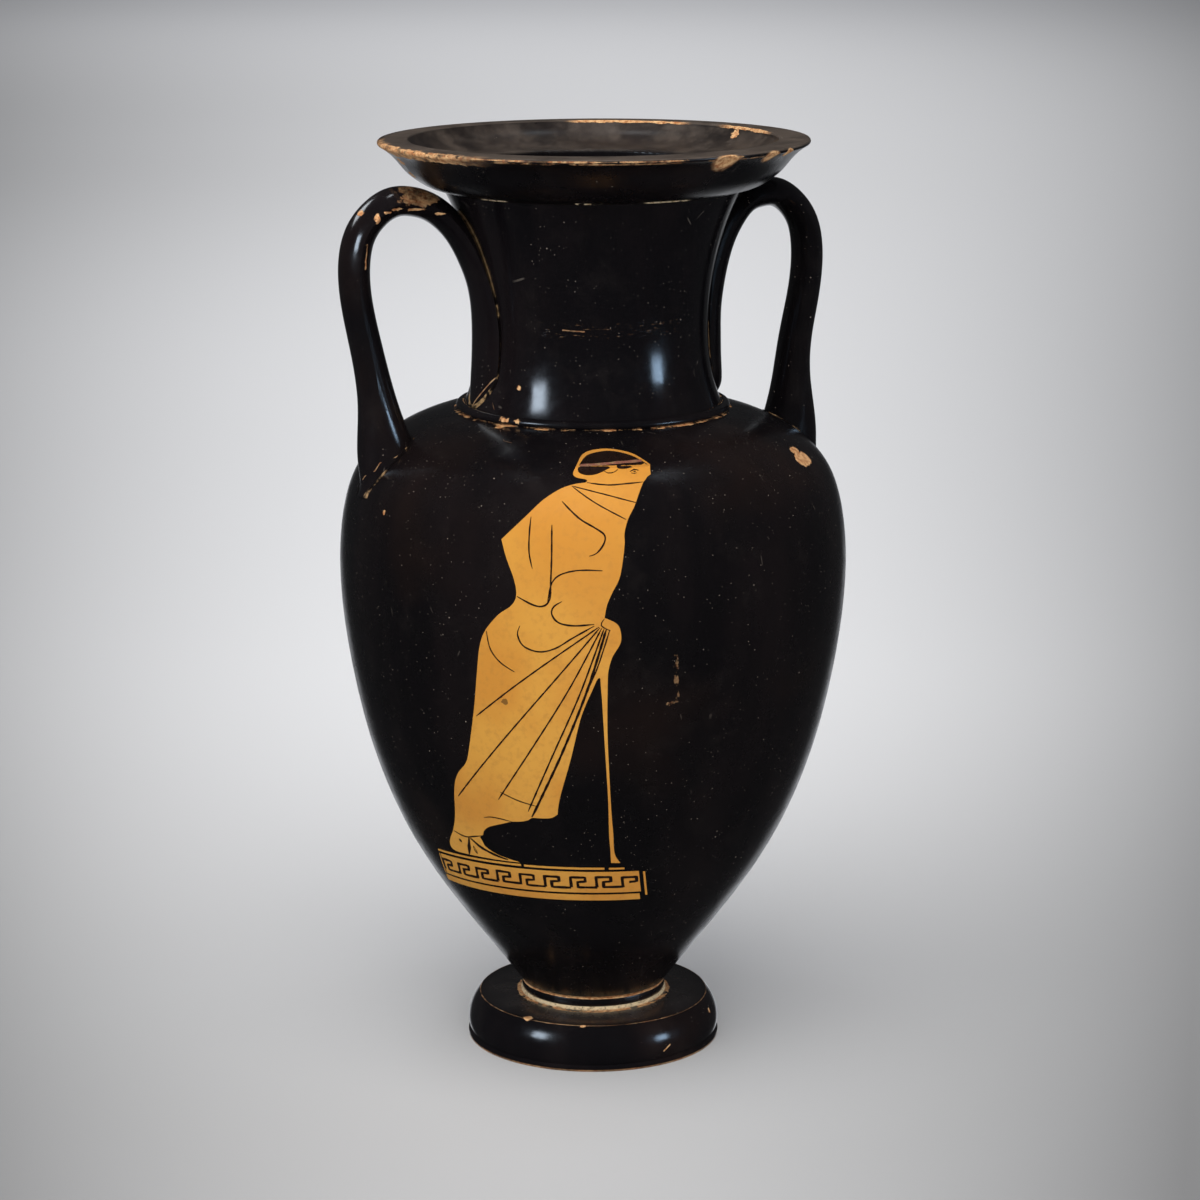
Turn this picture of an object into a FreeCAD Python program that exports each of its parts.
"""Neck-amphora with an offset neck, a flaring dished mouth, two strap handles and a disc foot.

A wheel-thrown terracotta vase, built as a potter builds one: foot, body, neck and mouth are
thrown apart and luted together with slip, coils of clay mask the joints, and the two pulled
handles go on last. Millimetres, +Z up, origin on the vase's axis at the plane it stands on.
The handles lie in the XZ plane.
"""
import FreeCAD
import Part
import math
import os
from FreeCAD import Vector

# ---- driving dimensions -------------------------------------------------------------------
HEIGHT = 341.0          # standing plane to the flat of the lip
RIM_R = 78.5            # outer edge of the mouth
FOOT_R = 47.7           # standing ring, outside
BELLY_R = 93.9          # widest radius of the body
BELLY_Z = 180.0         # and its height
BASE_WALL = 7.5         # body wall near the foot
BELLY_WALL = 4.8        # body wall at the belly
SHOULDER_WALL = 4.6     # body wall at the shoulder
NECK_WALL = 5.2         # neck wall at its top
SLIP = 0.4              # thickness of the slip layer in a luted joint

# ---- levels up the axis -------------------------------------------------------------------
FOOT_TOP_Z = 16.9       # flat top of the foot
FILL_TOP_Z = 18.3       # top of the fill ring on the foot
COLLAR_TOP_Z = 21.5     # top of the collar above it, where the body starts
SHOULDER_Z = 242.0      # joint of shoulder and neck
RING_TOP_Z = 244.8      # top of the moulding that covers that joint
NECK_TOP_Z = 322.7      # joint of neck and mouth
LEDGE_Z = 331.8         # inner ledge of the mouth, where the throat begins

STUB_R = 22.0           # the body's stub, which passes through the collar and the fill ring
BASE_R = 26.8           # body at the top of the collar
JOINT_R = 50.0          # body at the shoulder joint
NECK_BASE_R = 48.3      # neck at that joint
NECK_WAIST_R = 42.3     # narrowest radius of the neck
NECK_WAIST_Z = 271.0
NECK_TOP_R = 54.4       # neck under the mouth
THROAT_R = 49.2         # cylindrical throat inside the mouth
LIP_INNER_R = 67.3      # inner edge of the flat lip
RIM_EDGE = 1.6          # upright outer edge of the lip
RIM_KNOCK_DIP = 55       # degrees below level that the rim's knocks were struck from
RIM_KNOCKS = (           # azimuth from -Y towards +X in degrees, scoop radius, depth
    (15.8, 12.0, 0.9),
    (32.6, 9.0, 0.5),
    (41.2, 4.0, 0.6),
)
MOUTH_LEAN = 0.25       # degrees: the mouth was luted on a little out of level,
MOUTH_LEAN_TOWARD = -21.0  # higher in this direction, in degrees round from +X,
MOUTH_OFFSET = 0.45     # and a little off the axis in the same direction

# Outer outline of the body above its base, up to the shoulder joint.
BODY_OUTLINE = [
    (BASE_R, COLLAR_TOP_Z), (44.4, 45.0), (65.4, 75.4), (81.0, 110.0), (89.8, 145.0),
    (BELLY_R, BELLY_Z), (92.3, 205.0), (86.4, 221.7), (74.6, 233.0), (JOINT_R, SHOULDER_Z),
]
# Outer outline of the neck, a concave flare at both ends.
NECK_OUTLINE = [
    (NECK_BASE_R, SHOULDER_Z + SLIP), (43.6, 257.0), (NECK_WAIST_R, NECK_WAIST_Z),
    (43.5, 288.5), (47.2, 305.5), (NECK_TOP_R, NECK_TOP_Z),
]
# Underside of the mouth, from the joint out to the rim.
MOUTH_OUTLINE = [
    (NECK_TOP_R + 0.2, NECK_TOP_Z + 0.7), (61.1, 324.7), (65.0, 327.0), (68.8, 330.1),
    (71.8, 333.7), (75.1, 337.0), (RIM_R - 0.3, HEIGHT - 0.3 - RIM_EDGE),
]
# Dished inside of the mouth, from the lip's inner edge down to the throat.
MOUTH_DISH = [
    (LIP_INNER_R, HEIGHT - 0.3), (64.9, 337.2), (60.0, 334.2), (53.0, 332.3), (50.2, LEDGE_Z),
]

# Stations along a handle, from inside the shoulder up, over and down the side of the neck:
# radius, height, half width, thickness outside and inside the line of the side edges.
HANDLE_STATIONS = [
    (79.0, 218.0, 10.2, 12.0, 12.0), (81.8, 228.0, 9.8, 8.8, 12.8), (83.4, 237.0, 9.5, 7.2, 11.2),
    (84.4, 247.0, 9.3, 5.8, 8.8), (85.8, 257.0, 9.2, 5.1, 7.3), (87.7, 267.5, 9.1, 4.9, 6.6),
    (90.0, 278.5, 9.0, 4.8, 6.4), (91.7, 290.0, 9.0, 4.8, 6.3), (91.5, 300.5, 9.0, 5.0, 6.1),
    (88.8, 310.0, 9.0, 5.1, 5.8), (83.2, 317.0, 9.0, 5.1, 5.7), (76.4, 320.8, 9.0, 5.1, 5.7),
    (69.2, 320.9, 9.1, 4.9, 5.7), (62.4, 318.6, 9.3, 4.7, 5.5), (56.4, 314.0, 9.6, 4.6, 5.2),
    (51.2, 307.3, 10.0, 4.6, 4.8), (46.9, 298.6, 10.8, 4.6, 4.4), (43.6, 289.0, 11.8, 4.6, 4.1),
    (41.7, 278.5, 13.1, 4.6, 4.3), (41.3, 267.5, 13.5, 4.6, 4.5), (42.0, 258.0, 12.8, 4.4, 4.2),
    (43.3, 250.5, 10.4, 3.6, 3.7), (45.2, 244.3, 6.4, 3.0, 2.0),
]
HANDLE_ROOT_R = 41.0    # radius about which a handle's reach is scaled
HANDLE_ROOT_Z = 236.0   # height about which its rise is scaled
HANDLE_FREE_Z = 262.0   # the difference in reach grows from the shoulder up to this height
TAIL_STATIONS = 7       # stations in the tail that lies along the neck
RIGHT_REACH = 0.89      # the right handle reaches less than the left one
RIGHT_RISE = 0.975      # and rises a little less
RIGHT_TAIL_SWELL = 4.0  # but its tail stands further off the neck
FILL_WIDTH = 0.7        # fill around a handle's root, beyond the handle
FILL_RISE = 0.35        # and above the pot's surface


def revolve(face):
    """A full turn of a face in the XZ half plane."""
    return face.revolve(Vector(0, 0, 0), Vector(0, 0, 1), 360)


def point(r, z):
    return Vector(r, 0, z)


def spline(points):
    """A smooth edge through points given as (radius, height)."""
    curve = Part.BSplineCurve()
    curve.interpolate([point(r, z) for r, z in points])
    return curve.toShape()


def polyline(points):
    """Straight edges through points given as (radius, height)."""
    ends = [point(r, z) for r, z in points]
    return [Part.LineSegment(a, b).toShape() for a, b in zip(ends, ends[1:])]


def arc(a, b, c):
    """A circular edge from a through b to c, each (radius, height)."""
    return Part.Arc(point(*a), point(*b), point(*c)).toShape()


def turned(edges):
    """The solid turned from a closed outline in the XZ half plane."""
    solid = revolve(Part.Face(Part.Wire(Part.sortEdges(edges)[0])))
    if solid.ShapeType != "Solid":
        solid = Part.Solid(solid.Shells[0])
    return solid


def moved_off(points, distance):
    """An outline moved to its right by a distance, or by one distance for each point."""
    distances = distance if isinstance(distance, list) else [distance] * len(points)
    last = len(points) - 1
    result = []
    for i, (r, z) in enumerate(points):
        before, after = points[max(i - 1, 0)], points[min(i + 1, last)]
        dr, dz = after[0] - before[0], after[1] - before[1]
        length = math.hypot(dr, dz)
        result.append((r + distances[i] * dz / length, z - distances[i] * dr / length))
    return result


def filled(outline, low_r=0.0):
    """The solid inside an outer outline, down to the axis."""
    (r0, z0), (r1, z1) = outline[0], outline[-1]
    return turned([spline(outline)] + polyline([(r1, z1), (low_r, z1), (low_r, z0), (r0, z0)]))


# ---- foot ---------------------------------------------------------------------------------
def foot():
    """Disc foot: a thin standing flange, a rounded side, a flat top and a hollow underside."""
    flange_z, groove_z = 1.7, 2.3
    groove_r = FOOT_R - 0.9
    side_r, side_z = FOOT_R - 0.1, 6.0
    edge_r, edge_z = 43.2, 16.5
    ring_inner_r = 40.5
    outside = [
        *polyline([(ring_inner_r, 0), (FOOT_R - 0.3, 0), (FOOT_R, 0.4), (FOOT_R, flange_z - 0.3)]),
        *polyline([(FOOT_R, flange_z - 0.3), (FOOT_R - 0.3, flange_z), (groove_r, groove_z)]),
        spline([(groove_r, groove_z), (side_r, side_z), (47.1, 9.6), (45.6, 13.3), (edge_r, edge_z)]),
        *polyline([(edge_r, edge_z), (40.0, 16.6), (STUB_R, FOOT_TOP_Z), (0, FOOT_TOP_Z)]),
    ]
    underside = [
        *polyline([(0, FOOT_TOP_Z), (0, 11.0)]),
        spline([(0, 11.0), (14.0, 10.4), (29.0, 7.6), (37.0, 3.6), (ring_inner_r, 0)]),
    ]
    return turned(outside + underside)


def foot_luting_slip():
    """Slip between the foot's top and the body's stub."""
    return Part.makeCylinder(STUB_R, SLIP, Vector(0, 0, FOOT_TOP_Z))


def foot_joint_fill():
    """Fill pressed in round the joint: a rough bead on the foot's top."""
    outer_r = 27.6
    return turned(
        polyline([(STUB_R, FILL_TOP_Z), (STUB_R, FOOT_TOP_Z), (outer_r - 0.2, FOOT_TOP_Z - 0.06)])
        + [arc((outer_r - 0.2, FOOT_TOP_Z - 0.06), (outer_r, 17.4), (outer_r - 0.7, FILL_TOP_Z))]
        + polyline([(outer_r - 0.7, FILL_TOP_Z), (STUB_R, FILL_TOP_Z)])
    ).cut(foot())


def foot_fillet():
    """Clay collar round the stub, between the fill and the body."""
    low_r, mid_r, top_r = 26.9, 27.2, BASE_R
    middle_z = (FILL_TOP_Z + COLLAR_TOP_Z) / 2
    return turned(
        [arc((low_r, FILL_TOP_Z), (mid_r, middle_z), (top_r, COLLAR_TOP_Z))]
        + polyline([(top_r, COLLAR_TOP_Z), (STUB_R, COLLAR_TOP_Z), (STUB_R, FILL_TOP_Z)])
        + polyline([(STUB_R, FILL_TOP_Z), (low_r, FILL_TOP_Z)])
    )


# ---- body ---------------------------------------------------------------------------------
def body():
    """Ovoid shell with a closed floor, a stub below it and an open shoulder."""
    mouth_r = 42.6
    walls = [BASE_WALL, BASE_WALL, 6.4, 5.6, 5.0, BELLY_WALL, BELLY_WALL, 4.7, SHOULDER_WALL]
    inner = moved_off(BODY_OUTLINE[:-1], [-wall for wall in walls])
    floor_z = 33.0
    inside = [(0.0, floor_z), (18.0, floor_z + 2.2)] + inner[1:] + [(mouth_r, SHOULDER_Z - 3.4)]
    stub_z = FOOT_TOP_Z + SLIP
    return turned(
        [spline(BODY_OUTLINE), spline(inside)]
        + polyline([(JOINT_R, SHOULDER_Z), (mouth_r, SHOULDER_Z), (mouth_r, SHOULDER_Z - 3.4)])
        + polyline([(0, floor_z), (0, stub_z), (STUB_R, stub_z), (STUB_R, COLLAR_TOP_Z)])
        + polyline([(STUB_R, COLLAR_TOP_Z), (BASE_R, COLLAR_TOP_Z)])
    )


# ---- neck ---------------------------------------------------------------------------------
def neck_luting_slip():
    """Slip between the shoulder's rim and the neck."""
    inner_r = 42.8
    ring = Part.makeCylinder(NECK_BASE_R, SLIP, Vector(0, 0, SHOULDER_Z))
    return ring.cut(Part.makeCylinder(inner_r, SLIP, Vector(0, 0, SHOULDER_Z)))


def neck():
    """Concave tube, thrown apart from the body and trimmed at the top to seat the mouth."""
    spare = 1.0
    inside = moved_off(NECK_OUTLINE, -NECK_WALL)
    inside[0] = (42.9, NECK_OUTLINE[0][1])
    inside[-1] = (NECK_TOP_R - NECK_WALL, NECK_TOP_Z)
    top_in, top_out = inside[-1], NECK_OUTLINE[-1]
    tube = turned(
        [spline(NECK_OUTLINE), spline(inside)]
        + polyline([inside[0], NECK_OUTLINE[0]])
        + polyline([top_in, (top_in[0] + 0.3, NECK_TOP_Z + spare)])
        + polyline([(top_in[0] + 0.3, NECK_TOP_Z + spare), (top_out[0] + 0.4, NECK_TOP_Z + spare)])
        + polyline([(top_out[0] + 0.4, NECK_TOP_Z + spare), top_out])
    )
    above = set_down(Part.makeCylinder(RIM_R, 10 * spare, Vector(0, 0, NECK_TOP_Z)))
    return tube.cut(above)


def neck_ring():
    """Coil of clay that masks the joint of neck and shoulder, turned to a low moulding."""
    inner_r, crest_r = 46.0, 50.45
    crest_z = SHOULDER_Z + 1.2
    ring = turned(
        polyline([(inner_r, RING_TOP_Z), (inner_r, SHOULDER_Z), (JOINT_R, SHOULDER_Z)])
        + [arc((JOINT_R, SHOULDER_Z), (crest_r, crest_z), (NECK_BASE_R - 0.6, RING_TOP_Z))]
        + polyline([(NECK_BASE_R - 0.6, RING_TOP_Z), (inner_r, RING_TOP_Z)])
    )
    return ring.cut(filled(NECK_OUTLINE)).cut(neck_luting_slip())


# ---- mouth --------------------------------------------------------------------------------
def knock(azimuth, edge, dip, radius, depth):
    """A shallow scoop out of an edge, struck from outside and dip degrees below level."""
    turn, fall = math.radians(azimuth), math.radians(dip)
    out = edge[0] + (radius - depth) * math.cos(fall)
    height = edge[1] - (radius - depth) * math.sin(fall)
    return Part.makeSphere(radius, Vector(out * math.sin(turn), -out * math.cos(turn), height))


def set_down(shape):
    """A turned piece of the mouth, moved from the wheel's axis to where it was luted on."""
    toward = math.radians(MOUTH_LEAN_TOWARD)
    direction = Vector(math.cos(toward), math.sin(toward), 0)
    placed = shape.copy()
    placed.rotate(Vector(0, 0, NECK_TOP_Z), Vector(direction.y, -direction.x, 0), MOUTH_LEAN)
    placed.translate(direction * MOUTH_OFFSET)
    return placed


def mouth_luting_slip():
    """Slip between neck and mouth."""
    height = 0.3
    ring = Part.makeCylinder(NECK_TOP_R - 0.3, height, Vector(0, 0, NECK_TOP_Z))
    return set_down(ring.cut(Part.makeCylinder(THROAT_R + 0.1, height, Vector(0, 0, NECK_TOP_Z))))


def mouth_joint_fill():
    """Thin bead of fill in the groove under the mouth."""
    low_z, high_z = NECK_TOP_Z, NECK_TOP_Z + 0.7
    inner_r, outer_r = NECK_TOP_R - 0.3, NECK_TOP_R + 0.1
    bead = turned(
        [arc((outer_r - 0.1, low_z), (outer_r + 0.25, (low_z + high_z) / 2), (outer_r, high_z))]
        + polyline([(outer_r, high_z), (inner_r, high_z), (inner_r, low_z), (outer_r - 0.1, low_z)])
    )
    return set_down(bead)


def mouth():
    """Flaring mouth with a flat lip, dished inside, and a cylindrical throat."""
    underside_z = NECK_TOP_Z + 0.3
    joint_r = NECK_TOP_R - 0.3
    first, last = MOUTH_OUTLINE[0], MOUTH_OUTLINE[-1]
    edge = (RIM_R + 0.15, HEIGHT - 0.3 - RIM_EDGE / 2)
    top = (RIM_R - 0.3, HEIGHT - 0.3)
    lip = (LIP_INNER_R + 0.6, HEIGHT - 0.02)
    cup = set_down(turned(
        polyline([(THROAT_R, underside_z), (joint_r, underside_z), (joint_r, first[1]), first])
        + [spline(MOUTH_OUTLINE)]
        + [arc(last, edge, top)]
        + [spline([top, (74.0, HEIGHT), lip])]
        + polyline([lip, MOUTH_DISH[0]])
        + [spline(MOUTH_DISH)]
        + [arc(MOUTH_DISH[-1], (49.5, 331.4), (THROAT_R, 330.6))]
        + polyline([(THROAT_R, 330.6), (THROAT_R, underside_z)])
    ))
    for azimuth, radius, depth in RIM_KNOCKS:
        cup = cup.cut(knock(azimuth, (RIM_R, HEIGHT - RIM_EDGE), RIM_KNOCK_DIP, radius, depth))
    return cup


# ---- handles ------------------------------------------------------------------------------
def stations(reach, rise, tail_swell, extra):
    """The handle's stations, scaled in reach and rise, with the tail swollen off the neck."""
    result = []
    tail_from = len(HANDLE_STATIONS) - TAIL_STATIONS
    low_z = HANDLE_STATIONS[0][1]
    for i, (r, z, half, outside, inside) in enumerate(HANDLE_STATIONS):
        swell = tail_swell * min(1.0, max(0.0, (i - tail_from + 3) / 4.0))
        if i == len(HANDLE_STATIONS) - 1:
            swell /= 2
        grown = min(1.0, (z - low_z) / (HANDLE_FREE_Z - low_z))
        new_r = HANDLE_ROOT_R + (r - HANDLE_ROOT_R) * (1 - (1 - reach) * grown)
        new_z = HANDLE_ROOT_Z + (z - HANDLE_ROOT_Z) * (rise if z > HANDLE_ROOT_Z else 1.0)
        result.append((new_r, new_z, half + extra, outside + extra, inside + extra + swell))
    return result


def strap(side, **shape):
    """A strap lofted along its stations: crowned outside, rounder inside, with side edges."""
    places = stations(**shape)
    sections = []
    last = len(places) - 1
    for i, (r, z, half, outside, inside) in enumerate(places):
        before, after = places[max(i - 1, 0)], places[min(i + 1, last)]
        along = Vector(after[0] - before[0], 0, after[1] - before[1]).normalize()
        outward = Vector(along.z, 0, -along.x)
        centre = Vector(r, 0, z)
        left, right = centre + Vector(0, -half, 0), centre + Vector(0, half, 0)
        crown, palm = centre + outward * outside, centre - outward * inside
        sections.append(Part.Wire([
            Part.Arc(left, crown, right).toShape(),
            Part.Arc(right, palm, left).toShape(),
        ]))
    solid = Part.makeLoft(sections, True, False)
    if side < 0:
        solid = solid.mirror(Vector(0, 0, 0), Vector(1, 0, 0))
    return solid


def handle(side, shape):
    """A strap handle, cut where it meets the shoulder, the moulding and the neck."""
    pot = [filled(BODY_OUTLINE), filled(NECK_OUTLINE), neck_ring()]
    solid = strap(side, extra=0.0, **shape)
    for piece in pot:
        solid = solid.cut(piece)
    return max(solid.Solids, key=lambda s: s.Volume)


def root_fill(side, shape, outline, others):
    """Fill squeezed out round a handle's root: a low collar on the pot's surface."""
    raised = filled(moved_off(outline, FILL_RISE))
    collar = strap(side, extra=FILL_WIDTH, **shape).common(raised)
    for piece in [filled(outline), handle(side, shape), *others]:
        collar = collar.cut(piece)
    parts = [s for s in collar.Solids if s.Volume > 1.0]
    return Part.makeCompound(parts)


LEFT = dict(reach=1.0, rise=1.0, tail_swell=0.0)
RIGHT = dict(reach=RIGHT_REACH, rise=RIGHT_RISE, tail_swell=RIGHT_TAIL_SWELL)


def save(name, shape):
    """Writes one node and prints its size, so that a bad solid shows."""
    shape.exportStep(f"parts/{name}.step")
    box = shape.BoundBox
    print(f"{name:28s} solids {len(shape.Solids)}  valid {shape.isValid()}  "
          f"volume {shape.Volume:10.1f}  z {box.ZMin:7.2f} to {box.ZMax:7.2f}")


def main():
    os.makedirs("parts", exist_ok=True)
    save("foot", foot())
    save("foot_luting_slip", foot_luting_slip())
    save("foot_joint_fill", foot_joint_fill())
    save("foot_fillet", foot_fillet())
    save("body", body())
    save("neck_luting_slip", neck_luting_slip())
    save("neck_ring", neck_ring())
    save("neck", neck())
    save("mouth_luting_slip", mouth_luting_slip())
    save("mouth_joint_fill", mouth_joint_fill())
    save("mouth", mouth())
    around_neck = [neck_ring(), filled(BODY_OUTLINE)]
    around_shoulder = [neck_ring(), filled(NECK_OUTLINE)]
    for word, side, shape in (("left", -1, LEFT), ("right", 1, RIGHT)):
        save(f"handle_{word}", handle(side, shape))
        save(f"handle_{word}_neck_fill", root_fill(side, shape, NECK_OUTLINE, around_neck))
        save(f"handle_{word}_shoulder_fill", root_fill(side, shape, BODY_OUTLINE, around_shoulder))


main()
